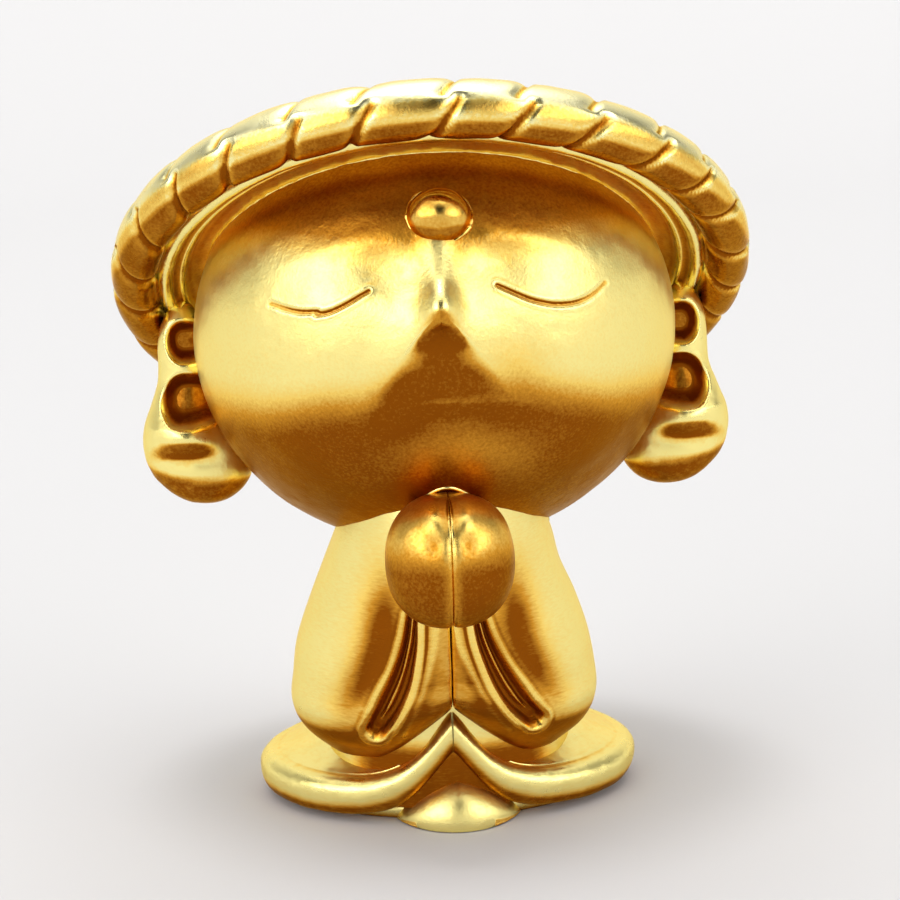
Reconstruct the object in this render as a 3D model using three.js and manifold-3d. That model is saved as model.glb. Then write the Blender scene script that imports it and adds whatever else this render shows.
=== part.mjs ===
// Praying figurine in gold-coloured metal: a big round head tipped back under a wide round
// hat with a corded rim, palms pressed together, hanging sleeves and a seated lap.
// Millimetres, +Z up, the figure faces -Y. Origin: middle of the underside of the base plate.

import * as THREE from 'three';
import { mergeVertices } from 'three/addons/utils/BufferGeometryUtils.js';
import Module from 'manifold-3d';

const wasm = await Module();
wasm.setup();

// ---------------------------------------------------------------- driving dimensions
const GAP = 0.12; // clearance between pieces that seat on each other
const WELD = 0.001; // points closer than this are one point
const SLIVER = 0.012; // edges shorter than this, left by a cut, are closed up

const HEAD = {
  radius: 11.7, // equator, square to the tilted axis
  pole: 10.1, // half height along the tilted axis
  wall: 1.6,
  tilt: THREE.MathUtils.degToRad(36.3), // the face looks up by this much
  height: 23.7, // centre above the resting plane
  setback: -2.2, // centre along Y
};
const NOSE = { drop: 4.2, proud: 1.25, halfWidth: 1.6, halfHeight: 2.2 };
const EYE = { inner: 2.9, outer: 7.5, drop: 3.55, rise: 0.95, sag: 0.85, groove: 0.2 };
const BEAD = { radius: 1.4, flat: 0.85, drop: 0.5, sink: 0.35, pegRadius: 0.5, pegLength: 1.9 };

const RIM = {
  overhang: 2.7, // centre line of the cord outside the head's equator
  halfWidth: 1.15,
  halfHeight: 1.35,
  turns: 28,
  groove: 0.14, // groove depth as a share of the cord's section
  rise: 2.67, // plane of the rim above the head's centre, along the tilted axis
  forward: 0.73, // centre of the rim ahead of the head's centre
};
const CROWN = { seat: 2.0, headroom: 5.0, fullness: 1.8, wall: 0.8 }; // the head is open above its seat
const BRIM = { ridge: 0.45, cove: 0.5, width: 3.2 };

const EAR = {
  proud: 0.35, // middle of the ear outside the head's equator
  forward: -1.8, // middle of the ear behind the head's centre
  above: 1.6, // top over the head's centre
  below: 8.1, // lowest point under the head's centre
  lobe: 2.75,
  stem: 1.15,
  pegRadius: 0.55,
  pegDrop: 0.8,
  pegGrip: 0.6, // peg past the inside of the head's wall
};

const BASE = { halfWidth: 9.7, halfDepth: 7.2, plate: 0.7, inset: 1.3, chamfer: 0.2 };
const TORSO = { hip: 6.2, shoulder: 4.9, depthRatio: 0.86, wall: 1.2, roof: 3.2, forward: -1.2 };
const NECK = { radius: 1.9, reach: 5.2, back: 0.4 };
const COLLAR = { radius: 0.5, halfWidth: 4.95, halfDepth: 6.3, forward: 2.0, drop: 0.35 };
const SLEEVE = { bottom: 3.2, spread: 3.9, forward: 4.1, reach: 5.2, thickness: 2.75 };
const CUFF = {
  halfLength: 3.0, halfWidth: 0.52, depth: 1.3,
  lean: 0.37, // the slit's foot turns outward by this, in radians
  inset: 0.6, // the fold inside stands back by this
  x: 2.75,
  rise: 5.15, // middle of the slit above the sleeve's foot
};
const HAND = { halfWidth: 2.95, halfDepth: 2.65, halfHeight: 3.35, forward: 8.6, drop: 9.0 };
const LAP = { rim: 1.45, rimRadius: 0.7, crest: 3.3, peak: 3.5, peakWidth: 2.1, dish: 0.5 };
const HEM = { halfWidth: 2.9, halfDepth: 1.8, height: 2.1, inset: 0.6 };
const FLOOR = 0.04; // the hem stops this far above the resting plane

const GOLD = { color: 0xe3b23c, roughness: 0.34, metalness: 1.0 };

// ---------------------------------------------------------------- levels worked out from them
const rimRadius = HEAD.radius + RIM.overhang;
const crownRadius = rimRadius - RIM.halfWidth - GAP / 2;
const crownDepth = CROWN.seat + CROWN.headroom;
const chin = HEAD.height - HEAD.pole; // lowest level that the head could reach
const torsoTop = chin + 2.8; // cut back by the head that rests on it
const sleeveTop = torsoTop + 0.4;
const earOffset = HEAD.radius + EAR.proud;
const earY = HEAD.setback - EAR.forward;

// ---------------------------------------------------------------- solids and cuts
function toSolid(geometry) {
  const bare = geometry.clone();
  bare.deleteAttribute('normal');
  bare.deleteAttribute('uv');
  const merged = mergeVertices(bare, WELD);
  const vertProperties = new Float32Array(merged.attributes.position.array);
  const triVerts = new Uint32Array(merged.index.array);
  return new wasm.Manifold(new wasm.Mesh({ numProp: 3, vertProperties, triVerts }));
}

function toGeometry(solid) {
  const mesh = solid.simplify(SLIVER).getMesh();
  const geometry = new THREE.BufferGeometry();
  const points = new Float32Array(mesh.vertProperties);
  geometry.setAttribute('position', new THREE.BufferAttribute(points, 3));
  geometry.setIndex(new THREE.BufferAttribute(new Uint32Array(mesh.triVerts), 1));
  geometry.computeVertexNormals();
  return geometry;
}

// The largest body of a cut solid; the offcuts are dropped.
function mainBody(solid) {
  return solid.decompose().reduce((best, body) => (body.volume() > best.volume() ? body : best));
}

function piece(name, solid) {
  const geometry = toGeometry(mainBody(toSolid(toGeometry(solid))));
  const mesh = new THREE.Mesh(geometry, new THREE.MeshStandardMaterial(GOLD));
  mesh.name = name;
  return mesh;
}

// Moves each point of a geometry with a function that edits the vector in place.
function reshape(geometry, move) {
  const position = geometry.attributes.position;
  const point = new THREE.Vector3();
  for (let i = 0; i < position.count; i += 1) {
    point.fromBufferAttribute(position, i);
    move(point);
    position.setXYZ(i, point.x, point.y, point.z);
  }
  return geometry;
}

function ellipsoid(rx, ry, rz, x, y, z, around = 28, along = 18) {
  return new THREE.SphereGeometry(1, around, along).rotateX(Math.PI / 2)
    .scale(rx, ry, rz).translate(x, y, z);
}

function cylinder(radius, length, sides = 20) {
  return new THREE.CylinderGeometry(radius, radius, length, sides);
}

// Lathe about Z; the profile is a list of [radius, height] pairs.
function turned(profile, sides) {
  const outline = profile.map(([r, z]) => new THREE.Vector2(r, z));
  return new THREE.LatheGeometry(outline, sides).rotateX(Math.PI / 2);
}

// Profile of a dome from its rim to the axis, as [radius, height] pairs; fullness 2 is an ellipse.
function domeProfile(radius, height, fullness, steps = 9) {
  const power = 2 / fullness;
  return Array.from({ length: steps + 1 }, (_, i) => {
    const angle = (Math.PI / 2) * (i / steps);
    return [i === steps ? 0 : radius * Math.cos(angle) ** power, GAP + height * Math.sin(angle) ** power];
  });
}

// Smooth value at height z through a list of [z, value] pairs in falling order of z.
function along(z, pairs) {
  const last = pairs.length - 1;
  if (z >= pairs[0][0]) return pairs[0][1];
  if (z <= pairs[last][0]) return pairs[last][1];
  const i = pairs.findIndex(([level]) => z > level) - 1;
  const t = (pairs[i][0] - z) / (pairs[i][0] - pairs[i + 1][0]);
  return THREE.MathUtils.lerp(pairs[i][1], pairs[i + 1][1], t * t * (3 - 2 * t));
}

// Egg-like body between two heights. shape(z) gives { x, y, a, b, turn } of the section there,
// and full sets how blunt the two ends are.
function pod(top, bottom, full, shape, around = 22, rings = 16) {
  const middle = (top + bottom) / 2;
  const half = (top - bottom) / 2;
  const geometry = new THREE.SphereGeometry(1, around, rings).rotateX(Math.PI / 2);
  return reshape(geometry, (p) => {
    const ring = Math.hypot(p.x, p.y);
    const angle = Math.atan2(p.y, p.x);
    const z = middle + half * p.z;
    const s = shape(z);
    const swell = ring < 1e-6 ? 0 : (1 - Math.abs(p.z) ** full) ** (1 / full);
    const u = s.a * swell * Math.cos(angle);
    const v = s.b * swell * Math.sin(angle);
    const [c, d] = [Math.cos(s.turn), Math.sin(s.turn)];
    p.set(s.x + u * c - v * d, s.y + u * d + v * c, z);
  });
}

const mirrored = (geometry) => {
  const flipped = geometry.clone().scale(-1, 1, 1);
  const index = flipped.index.array;
  for (let i = 0; i < index.length; i += 3) {
    [index[i], index[i + 1]] = [index[i + 1], index[i]];
  }
  return flipped;
};

const onSide = (side, geometry) => toSolid(side < 0 ? mirrored(geometry) : geometry);

// ---------------------------------------------------------------- frames
const headGroup = new THREE.Group();
headGroup.position.set(0, HEAD.setback, HEAD.height);
headGroup.rotation.x = -HEAD.tilt;
headGroup.updateMatrix();

const figure = new THREE.Group();
figure.add(headGroup);

// The head's outer form in its own frame, let out by a clearance.
const headForm = (spare, around = 34, rings = 22) =>
  ellipsoid(HEAD.radius + spare, HEAD.radius + spare, HEAD.pole + spare, 0, 0, 0, around, rings);
const headInWorld = (spare) => toSolid(headForm(spare).applyMatrix4(headGroup.matrix));
const worldToHead = headGroup.matrix.clone().invert();

// ---------------------------------------------------------------- hat
function rimCord() {
  const perTurn = 4;
  const cord = new THREE.TorusGeometry(rimRadius, 1, 10, RIM.turns * perTurn);
  return reshape(cord, (p) => {
    const sweep = Math.atan2(p.y, p.x);
    const out = Math.hypot(p.x, p.y) - rimRadius;
    const phase = RIM.turns * sweep - Math.atan2(p.z, out);
    const lobe = 1 - RIM.groove * (1 - Math.abs(Math.sin(phase / 2)));
    const radius = rimRadius + out * RIM.halfWidth * lobe;
    p.set(radius * Math.cos(sweep), radius * Math.sin(sweep), p.z * RIM.halfHeight * lobe);
  }).translate(0, -RIM.forward, RIM.rise);
}

function hatCrown() {
  const outer = domeProfile(crownRadius, crownDepth, CROWN.fullness);
  const inner = domeProfile(crownRadius - CROWN.wall, crownDepth - CROWN.wall, CROWN.fullness).reverse();
  return turned([...outer, ...inner, outer[0]], 36).translate(0, -RIM.forward, RIM.rise);
}

function brimLining() {
  const outer = crownRadius - GAP;
  const step = outer - 0.5;
  const inner = outer - BRIM.width;
  const tuck = crownRadius - CROWN.wall - GAP;
  const profile = [
    [outer, 0], [outer, -BRIM.ridge], [step, -BRIM.ridge - 0.1], [step - 0.25, -BRIM.ridge + 0.3],
    [step - 0.8, BRIM.cove - 0.2], [step - 1.4, BRIM.cove], [inner, BRIM.cove - 0.1],
    [inner, BRIM.cove + 0.9], [tuck - 0.6, BRIM.cove + 0.7],
    [tuck - 0.15, 0.3], [tuck - 0.15, 0], [outer, 0],
  ];
  return turned(profile.reverse(), 36).translate(0, -RIM.forward, RIM.rise);
}

const headSolid = toSolid(headForm(0));
const headClear = toSolid(headForm(GAP));
headGroup.add(piece('hat_rim_cord', toSolid(rimCord())));
headGroup.add(piece('hat_crown', toSolid(hatCrown())));
headGroup.add(piece('hat_brim_lining', toSolid(brimLining()).subtract(headClear)));

// ---------------------------------------------------------------- head
function nose() {
  const seat = new THREE.Vector3(0, -Math.sqrt(1 - (NOSE.drop / HEAD.pole) ** 2) * HEAD.radius, -NOSE.drop);
  const form = new THREE.SphereGeometry(1, 14, 10).rotateX(Math.PI / 2);
  return reshape(form, (p) => {
    const taper = 0.62 - 0.38 * p.z;
    p.set(p.x * NOSE.halfWidth * taper, p.y * NOSE.proud, p.z * NOSE.halfHeight);
  }).translate(seat.x, seat.y, seat.z);
}

// A closed lid: a fine groove that sags between its two corners.
function eyeGroove(side) {
  const points = Array.from({ length: 7 }, (_, i) => {
    const t = i / 6;
    const x = THREE.MathUtils.lerp(EYE.inner, EYE.outer, t);
    const z = -EYE.drop + EYE.rise * t - EYE.sag * Math.sin(Math.PI * t);
    const y = -HEAD.radius * Math.sqrt(1 - (z / HEAD.pole) ** 2 - (x / HEAD.radius) ** 2);
    return new THREE.Vector3(side * x, y, z);
  });
  const section = new THREE.Shape().absarc(0, 0, EYE.groove, 0, Math.PI * 2);
  return new THREE.ExtrudeGeometry(section, {
    steps: 10, curveSegments: 2, extrudePath: new THREE.CatmullRomCurve3(points),
  });
}

const beadSeat = { y: -HEAD.radius + BEAD.sink, z: -BEAD.drop };
const beadForm = (spare) => ellipsoid(
  BEAD.radius + spare, BEAD.radius * BEAD.flat + spare, BEAD.radius * 0.95 + spare,
  0, beadSeat.y, beadSeat.z, 16, 10,
);
const beadPeg = (spare) => cylinder(BEAD.pegRadius + spare, BEAD.pegLength + spare, 14)
  .translate(0, beadSeat.y + BEAD.pegLength / 2, beadSeat.z);

// Peg that holds an ear, in the figure's frame, running in along X.
const earPeg = (side, spare) => {
  const inner = HEAD.radius - HEAD.wall - EAR.pegGrip;
  return cylinder(EAR.pegRadius + spare, earOffset - inner, 14).rotateZ(Math.PI / 2)
    .translate((side * (inner + earOffset)) / 2, earY, HEAD.height - EAR.pegDrop);
};

const neckSpigot = (spare) => cylinder(NECK.radius + spare, HEAD.wall + NECK.reach, 24)
  .rotateX(Math.PI / 2)
  .translate(0, HEAD.setback + NECK.back, chin - 0.6);

function headShell() {
  const hollow = toSolid(headForm(-HEAD.wall, 24, 16));
  const openTop = new THREE.BoxGeometry(...Array(3).fill(4 * HEAD.radius))
    .translate(0, 0, RIM.rise + CROWN.seat + 2 * HEAD.radius);
  let shell = headSolid.add(toSolid(nose())).subtract(hollow).subtract(toSolid(openTop));
  shell = shell.subtract(toSolid(beadForm(GAP))).subtract(toSolid(beadPeg(GAP)));
  shell = shell.subtract(toSolid(neckSpigot(GAP).applyMatrix4(worldToHead)));
  for (const side of [-1, 1]) {
    shell = shell.subtract(toSolid(eyeGroove(side)));
    shell = shell.subtract(toSolid(earPeg(side, GAP).applyMatrix4(worldToHead)));
  }
  return shell;
}

headGroup.add(piece('head_shell', headShell()));
headGroup.add(piece('brow_bead', toSolid(beadForm(0)).add(toSolid(beadPeg(0)))));

// ---------------------------------------------------------------- ears
function ear(side) {
  const top = HEAD.height + EAR.above;
  const bottom = HEAD.height - EAR.below;
  const width = [
    [top, EAR.stem * 0.9], [top - 2.5, EAR.stem * 1.15], [top - 4.5, EAR.stem],
    [bottom + 2.5, EAR.lobe], [bottom, EAR.lobe],
  ];
  const form = pod(top, bottom, 3, (z) => ({
    x: earOffset, y: earY, a: along(z, width), b: along(z, width) * 0.78, turn: 0,
  }), 14, 16);
  const lining = toSolid(brimLining().translate(0, 0, -GAP).applyMatrix4(headGroup.matrix));
  return onSide(side, form).subtract(headInWorld(GAP)).subtract(lining)
    .add(toSolid(earPeg(side, 0)));
}

figure.add(piece('ear_left', ear(1)));
figure.add(piece('ear_right', ear(-1)));

// ---------------------------------------------------------------- lap, hem and base
// Section of the lap at one bearing, from the torso out over the rolled rim and back below.
function lapSection(bearing) {
  const outX = BASE.halfWidth * Math.cos(bearing);
  const outY = BASE.halfDepth * Math.sin(bearing);
  const frontness = bearing < 0 ? Math.exp(-((Math.abs(outX) / LAP.peakWidth) ** 1.3)) : 0;
  const lift = LAP.peak * frontness;
  const under = BASE.plate + GAP + lift * 0.75;
  const rimZ = LAP.rim + lift;
  const points = [
    [0.34, LAP.crest + lift * 0.4], [0.62, LAP.crest - 0.5 + lift * 0.7],
    [0.78, rimZ + 0.1 - LAP.dish * 0.4],
  ];
  const rimShare = LAP.rimRadius / Math.hypot(outX, outY);
  for (let i = 0; i <= 6; i += 1) {
    const angle = THREE.MathUtils.degToRad(120 - 35 * i);
    points.push([1 - rimShare + rimShare * Math.cos(angle), rimZ + LAP.rimRadius * Math.sin(angle)]);
  }
  points.push([0.84, under], [0.34, under]);
  return points.map(([share, z]) => (
    new THREE.Vector3(share * outX, share * outY, Math.max(z, under))
  ));
}

// Closed skin over a row of sections with equal point counts, wound so that it faces outward.
function loft(sections, flat) {
  const count = sections[0].length;
  const last = sections.length - 1;
  const index = [];
  for (let i = 0; i < last; i += 1) {
    for (let j = 0; j < count; j += 1) {
      const [a, b] = [i * count + j, i * count + ((j + 1) % count)];
      index.push(a, b, b + count, a, b + count, a + count);
    }
  }
  for (const ring of [0, last]) {
    const outline = sections[ring].map(flat);
    const outlineArea = THREE.ShapeUtils.area(outline);
    for (const [a, b, c] of THREE.ShapeUtils.triangulateShape(outline, [])) {
      const corner = [outline[a], outline[b], outline[c]];
      const sameWay = THREE.ShapeUtils.area(corner) * outlineArea > 0;
      const [i, j, k] = [a, b, c].map((n) => n + ring * count);
      index.push(...(sameWay === (ring === last) ? [i, j, k] : [i, k, j]));
    }
  }
  const geometry = new THREE.BufferGeometry();
  const values = sections.flat().flatMap((p) => [p.x, p.y, p.z]);
  geometry.setAttribute('position', new THREE.Float32BufferAttribute(values, 3));
  geometry.setIndex(index);
  return geometry;
}

function lapLobe() {
  const stations = 22;
  const sections = Array.from({ length: stations + 1 }, (_, i) => {
    const bearing = Math.PI * (i / stations - 0.5);
    return lapSection(bearing).map((p) => p.setX(p.x + GAP / 2));
  });
  return loft(sections, (p) => new THREE.Vector2(p.y, p.z));
}

const torsoProfile = (spare) => [
  [0, BASE.plate + GAP], [TORSO.hip + spare, BASE.plate + GAP], [TORSO.hip + spare, torsoTop * 0.2],
  [TORSO.hip - 0.25 + spare, torsoTop * 0.36], [TORSO.hip - 0.6 + spare, torsoTop * 0.55],
  [TORSO.shoulder + 0.15 + spare, torsoTop * 0.73], [TORSO.shoulder + spare, torsoTop * 0.88],
  [TORSO.shoulder - 0.5 + spare, torsoTop], [0, torsoTop],
];
const torsoForm = (spare) => turned(torsoProfile(spare), 36).scale(1, TORSO.depthRatio, 1)
  .translate(0, TORSO.forward, 0);

// Thin oval plate that closes the foot; spare lets it out for the pieces that sit over it.
const plate = (spare) => {
  const foot = 1 - BASE.chamfer / BASE.halfWidth;
  const top = BASE.plate + spare;
  const profile = [[0, -spare], [foot, -spare], [1, BASE.chamfer - spare], [1, top], [0, top]];
  const inset = BASE.inset - spare;
  return turned(profile, 56).scale(BASE.halfWidth - inset, BASE.halfDepth - inset, 1);
};

const torsoClear = toSolid(torsoForm(GAP));
const hemForm = (spare) => pod(HEM.height + spare, -HEM.height * 0.7, 2.2, () => ({
  x: 0, y: HEM.inset - BASE.halfDepth, a: HEM.halfWidth + spare, b: HEM.halfDepth + spare, turn: 0,
}), 24, 14);
const floorCut = toSolid(new THREE.BoxGeometry(40, 40, 10).translate(0, 0, FLOOR - 5));

function frontHem() {
  return toSolid(hemForm(0)).subtract(floorCut).subtract(toSolid(plate(GAP))).subtract(torsoClear);
}

const lapSolid = (side) => onSide(side, lapLobe())
  .subtract(torsoClear)
  .subtract(toSolid(hemForm(GAP)));

figure.add(piece('lap_left', lapSolid(1)));
figure.add(piece('lap_right', lapSolid(-1)));
figure.add(piece('front_hem', frontHem()));
figure.add(piece('base_plate', toSolid(plate(0))));

// ---------------------------------------------------------------- torso and collar
// Height of the underside of the head above a point of the plan.
function headUnderside(x, y) {
  const [c, d] = [Math.cos(HEAD.tilt), Math.sin(HEAD.tilt)];
  const back = y - HEAD.setback;
  const [front, up] = [-back * c, back * d];
  const square = (d / HEAD.radius) ** 2 + (c / HEAD.pole) ** 2;
  const cross = (front * d) / HEAD.radius ** 2 + (up * c) / HEAD.pole ** 2;
  const rest = (x / HEAD.radius) ** 2 + (front / HEAD.radius) ** 2 + (up / HEAD.pole) ** 2 - 1;
  return HEAD.height + (-cross - Math.sqrt(Math.max(cross ** 2 - square * rest, 0))) / square;
}

// Rolled neckline that follows the underside of the head and rises over the palms.
function collarForm(spare) {
  const points = Array.from({ length: 20 }, (_, i) => {
    const bearing = (2 * Math.PI * i) / 20;
    const x = COLLAR.halfWidth * Math.cos(bearing);
    const y = HEAD.setback - COLLAR.forward + COLLAR.halfDepth * Math.sin(bearing);
    return new THREE.Vector3(x, y, headUnderside(x, y) - COLLAR.drop);
  });
  const section = new THREE.Shape().absarc(0, 0, COLLAR.radius + spare, 0, Math.PI * 2);
  return new THREE.ExtrudeGeometry(section, {
    steps: 32, curveSegments: 3, extrudePath: new THREE.CatmullRomCurve3(points, true),
  });
}

const collarClear = toSolid(collarForm(GAP));

// The hollow of the torso: open at the foot, closed below the neck.
function torsoHollow() {
  const radius = TORSO.hip - TORSO.wall;
  const roof = chin - TORSO.roof;
  const shoulder = TORSO.shoulder - TORSO.wall;
  const profile = [
    [0, 0], [radius, 0], [radius, roof * 0.3], [shoulder, roof * 0.9], [shoulder * 0.4, roof], [0, roof],
  ];
  return turned(profile, 24).scale(1, TORSO.depthRatio, 1).translate(0, TORSO.forward, 0);
}

function torso() {
  return toSolid(torsoForm(0)).subtract(toSolid(torsoHollow())).subtract(headInWorld(GAP))
    .subtract(toSolid(neckSpigot(GAP))).subtract(collarClear);
}

figure.add(piece('torso', torso()));
figure.add(piece('neck_spigot', toSolid(neckSpigot(0))));
figure.add(piece('collar', toSolid(collarForm(0)).subtract(headInWorld(GAP))));

// ---------------------------------------------------------------- hands and sleeves
const palmsForm = (spare) => ellipsoid(
  HAND.halfWidth + spare, HAND.halfDepth + spare, HAND.halfHeight + spare,
  0, HEAD.setback - HAND.forward, HEAD.height - HAND.drop, 26, 18,
);
const halfSpace = (side) => toSolid(
  new THREE.BoxGeometry(30, 60, 60).translate(side * (15 + GAP / 2), 0, 20),
);

const handSolid = (side) => toSolid(palmsForm(0)).intersect(halfSpace(side))
  .subtract(headInWorld(GAP)).subtract(collarClear);

// Section of a sleeve at one height: a long oval wrapped round the front corner of the torso.
function sleeveSection(z) {
  const [top, elbow, bottom] = [sleeveTop, sleeveTop - 7.8, SLEEVE.bottom];
  const [spread, forward] = [SLEEVE.spread, SLEEVE.forward];
  const size = along(z, [[top, 0.74], [top - 3.8, 0.86], [elbow, 1], [bottom + 2.3, 0.98], [bottom, 0.8]]);
  return {
    x: along(z, [[top, spread - 1.3], [elbow, spread], [bottom, spread + 0.4]]),
    y: TORSO.forward - along(z, [[top, forward + 0.9], [elbow, forward], [bottom, forward - 0.1]]),
    a: SLEEVE.reach * size,
    b: SLEEVE.thickness * along(z, [[top, 0.75], [elbow, 1], [bottom, 0.95]]),
    turn: along(z, [[top, 1.15], [elbow, 0.8], [bottom, 0.74]]),
  };
}

// Front face of the sleeve's section where it passes a given x.
function sleeveFace(x, z) {
  const s = sleeveSection(z);
  const [c, d] = [Math.cos(s.turn), Math.sin(s.turn)];
  const across = x - s.x;
  const square = (d / s.a) ** 2 + (c / s.b) ** 2;
  const cross = across * c * d * (1 / s.a ** 2 - 1 / s.b ** 2);
  const rest = across ** 2 * ((c / s.a) ** 2 + (d / s.b) ** 2) - 1;
  return s.y + (-cross - Math.sqrt(Math.max(cross ** 2 - square * rest, 0))) / square;
}

// Long oval set along the slit, let out by a clearance and moved into the sleeve.
function slitForm(spare, inset = 0, length = 1) {
  const height = SLEEVE.bottom + CUFF.rise;
  return ellipsoid(
    CUFF.halfWidth + spare, CUFF.depth + spare - inset, (CUFF.halfLength + spare) * length,
    0, inset, 0, 12, 10,
  ).rotateY(CUFF.lean).translate(CUFF.x, sleeveFace(CUFF.x, height), height);
}

function sleeve(side) {
  return onSide(side, pod(sleeveTop, SLEEVE.bottom, 2.9, sleeveSection, 24, 18))
    .subtract(onSide(side, slitForm(0)))
    .intersect(halfSpace(side))
    .subtract(torsoClear)
    .subtract(toSolid(palmsForm(GAP)))
    .subtract(collarClear)
    .subtract(headInWorld(GAP))
    .subtract(onSide(side, lapLobe().translate(-GAP, 0, GAP)));
}

const cuffLining = (side) => onSide(side, slitForm(-GAP, CUFF.inset, 0.68));

for (const [name, side] of [['left', 1], ['right', -1]]) {
  figure.add(piece(`hand_${name}`, handSolid(side)));
  figure.add(piece(`sleeve_${name}`, sleeve(side)));
  figure.add(piece(`cuff_lining_${name}`, cuffLining(side)));
}

export default figure;
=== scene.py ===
import logging
import math
from collections.abc import Callable
from dataclasses import dataclass, field
from enum import Enum

import bpy
import numpy as np
from mathutils import Matrix, Vector


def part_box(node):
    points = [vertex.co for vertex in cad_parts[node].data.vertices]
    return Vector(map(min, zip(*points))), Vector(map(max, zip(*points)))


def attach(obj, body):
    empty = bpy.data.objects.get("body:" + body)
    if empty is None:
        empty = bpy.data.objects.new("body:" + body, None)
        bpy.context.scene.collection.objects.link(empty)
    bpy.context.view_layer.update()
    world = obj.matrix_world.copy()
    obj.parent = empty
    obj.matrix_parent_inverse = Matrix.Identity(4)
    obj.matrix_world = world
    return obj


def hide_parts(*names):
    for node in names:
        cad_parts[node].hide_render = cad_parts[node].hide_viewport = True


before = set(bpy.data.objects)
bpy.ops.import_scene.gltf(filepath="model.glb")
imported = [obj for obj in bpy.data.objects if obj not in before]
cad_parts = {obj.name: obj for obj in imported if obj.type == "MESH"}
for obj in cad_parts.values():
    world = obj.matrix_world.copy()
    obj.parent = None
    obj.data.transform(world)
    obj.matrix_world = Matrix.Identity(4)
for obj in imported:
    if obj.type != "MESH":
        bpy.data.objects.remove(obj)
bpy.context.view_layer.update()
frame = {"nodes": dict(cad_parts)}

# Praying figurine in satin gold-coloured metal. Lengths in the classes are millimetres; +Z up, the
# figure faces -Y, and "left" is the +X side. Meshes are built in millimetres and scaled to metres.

MM = 0.001
BODY = "root"
TILT = math.radians(36.3)
MIRROR = np.array([-1.0, 1.0, 1.0])
Socket = bpy.types.NodeSocket
Triple = tuple[float, float, float]
Line = tuple[tuple[float, ...], ...]
log = logging.getLogger("figurine")


class Side(Enum):
    """Which half of the figure a paired piece belongs to."""

    LEFT = 1
    RIGHT = -1

    @property
    def word(self) -> str:
        """The ending of the piece's name."""
        return self.name.lower()


# ---- small maths
def hill(t: np.ndarray, centre: float, width: float, power: float = 2.0) -> np.ndarray:
    """Smooth bump of height 1.

    Args:
        t: positions.
        centre: where the bump is highest.
        width: distance at which it has fallen to 1/e.
        power: 2 for a bell; more for a flatter top.

    Returns:
        The bump's height at each position.
    """
    return np.exp(-(np.abs((t - centre) / width) ** power))


def ramp(t: np.ndarray, start: float, end: float) -> np.ndarray:
    """Smooth rise from 0 at start to 1 at end, either way round."""
    s = np.clip((t - start) / (end - start), 0.0, 1.0)
    return s * s * (3.0 - 2.0 * s)


def circle(count: int) -> np.ndarray:
    """Even angles once round."""
    return np.linspace(0.0, 2 * np.pi, count, endpoint=False)


def along(z: np.ndarray, pairs: Line | list) -> np.ndarray:
    """Smooth value through a list of (z, value) pairs.

    Args:
        z: heights.
        pairs: heights and values, in any order.

    Returns:
        The value at each height, held past the ends.
    """
    heights, values = np.array(sorted(pairs), float).T
    slopes = np.gradient(values, heights)
    z = np.clip(z, heights[0], heights[-1])
    i = np.clip(np.searchsorted(heights, z) - 1, 0, len(heights) - 2)
    gap = heights[i + 1] - heights[i]
    t = (z - heights[i]) / gap
    low = values[i] * (1 + 2 * t) * (1 - t) ** 2 + slopes[i] * gap * t * (1 - t) ** 2
    return low + values[i + 1] * t**2 * (3 - 2 * t) - slopes[i + 1] * gap * t**2 * (1 - t)


def smooth_line(points: Line | list, count: int) -> np.ndarray:
    """Even points on a smooth curve through the given ones.

    Args:
        points: what the curve passes through.
        count: how many points to return.

    Returns:
        An array with one row for each point.
    """
    p = np.array(points, float)
    p = np.vstack([2 * p[0] - p[1], p, 2 * p[-1] - p[-2]])
    t = np.linspace(0.0, 1.0, 24, endpoint=False)[:, None]
    pieces = []
    for a, b, c, d in zip(p, p[1:], p[2:], p[3:]):
        square, cube = 2 * a - 5 * b + 4 * c - d, 3 * b - a - 3 * c + d
        pieces.append(0.5 * (2 * b + (c - a) * t + square * t**2 + cube * t**3))
    fine = np.vstack([*pieces, p[-2][None]])
    steps = np.concatenate([[0.0], np.cumsum(np.linalg.norm(np.diff(fine, axis=0), axis=1))])
    want = np.linspace(0.0, steps[-1], count)
    return np.stack([np.interp(want, steps, column) for column in fine.T], axis=1)


def lattice_noise(p: np.ndarray, scale: float, seed: int) -> np.ndarray:
    """Smooth random field in space.

    Args:
        p: points, in millimetres.
        scale: cells in a millimetre.
        seed: which field.

    Returns:
        Values from about -1 to 1, one for each point.
    """
    size, origin = 64, 500.0
    table = np.random.default_rng(seed).uniform(-1.0, 1.0, (size, size, size))
    q = p * scale + origin
    base = np.floor(q).astype(int)
    f = q - base
    f = f * f * (3.0 - 2.0 * f)
    total = np.zeros(p.shape[:-1])
    for corner in range(8):
        o = np.array([corner & 1, corner >> 1 & 1, corner >> 2 & 1])
        c = (base + o) % size
        w = np.prod(np.where(o, f, 1.0 - f), axis=-1)
        total += w * table[c[..., 0], c[..., 1], c[..., 2]]
    return total


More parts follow.
